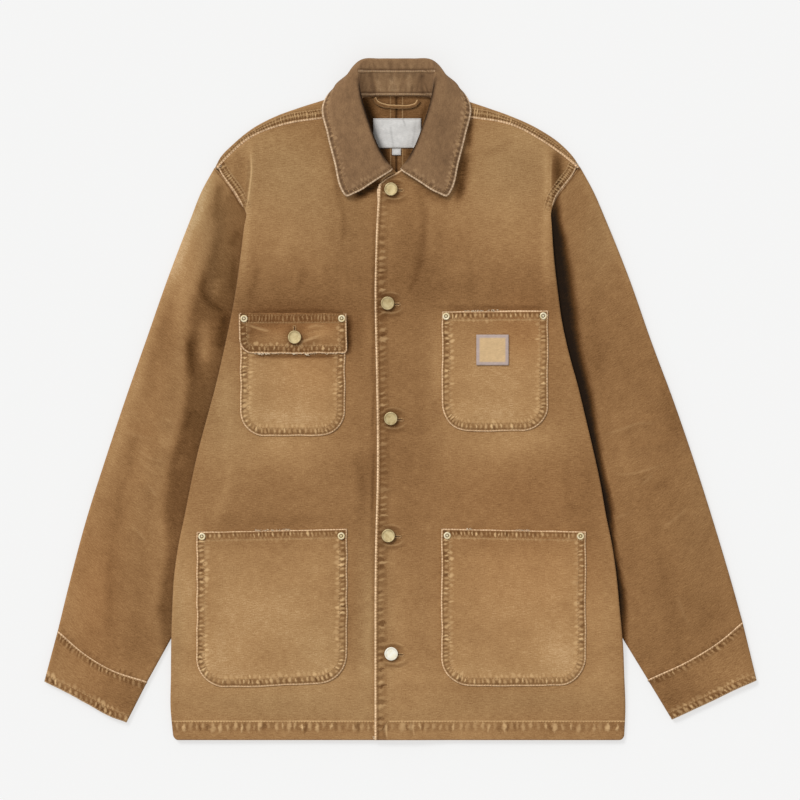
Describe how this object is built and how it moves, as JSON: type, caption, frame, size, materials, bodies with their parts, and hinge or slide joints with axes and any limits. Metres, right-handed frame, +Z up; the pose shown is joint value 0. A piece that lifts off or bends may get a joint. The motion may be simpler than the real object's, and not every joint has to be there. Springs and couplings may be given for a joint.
{
  "type": "chore jacket",
  "caption": "Button-front chore jacket in washed duck canvas with a contrast collar, patch pockets and cuffed sleeves, laid flat on its back.",
  "frame": {"origin": "centre of the jacket's bounding box, on the surface that it lies on", "axes": "+X to the viewer's right across both cuffs (the wearer's left), +Y from the hem to the collar, +Z up from the surface"},
  "size_m": [0.8412, 0.8062, 0.0261],
  "materials": {
    "duck_canvas": "washed and faded brown duck canvas",
    "collar_cloth": "darker brown brushed twill",
    "pale_brass": "satin pale brass",
    "label_cloth": "woven tape, bare"
  },
  "bodies": {
    "root": {"back_left": "duck_canvas", "back_right": "duck_canvas", "button_1": "pale_brass", "button_2": "pale_brass", "button_3": "pale_brass", "button_4": "pale_brass", "button_5": "pale_brass", "chest_pocket_left": "duck_canvas", "chest_pocket_right": "duck_canvas", "collar": "collar_cloth", "cuff_left": "duck_canvas", "cuff_right": "duck_canvas", "flap_button": "pale_brass", "front_left": "duck_canvas", "front_right": "duck_canvas", "hanger_loop": "duck_canvas", "lower_pocket_left": "duck_canvas", "lower_pocket_right": "duck_canvas", "neck_label": "label_cloth", "pocket_flap": "duck_canvas", "pocket_patch": "label_cloth", "rivet_1": "pale_brass", "rivet_2": "pale_brass", "rivet_3": "pale_brass", "rivet_4": "pale_brass", "rivet_5": "pale_brass", "rivet_6": "pale_brass", "rivet_7": "pale_brass", "rivet_8": "pale_brass", "size_tag": "label_cloth", "sleeve_left": "duck_canvas", "sleeve_right": "duck_canvas", "undersleeve_left": "duck_canvas", "undersleeve_right": "duck_canvas"}
  },
  "joints": []
}
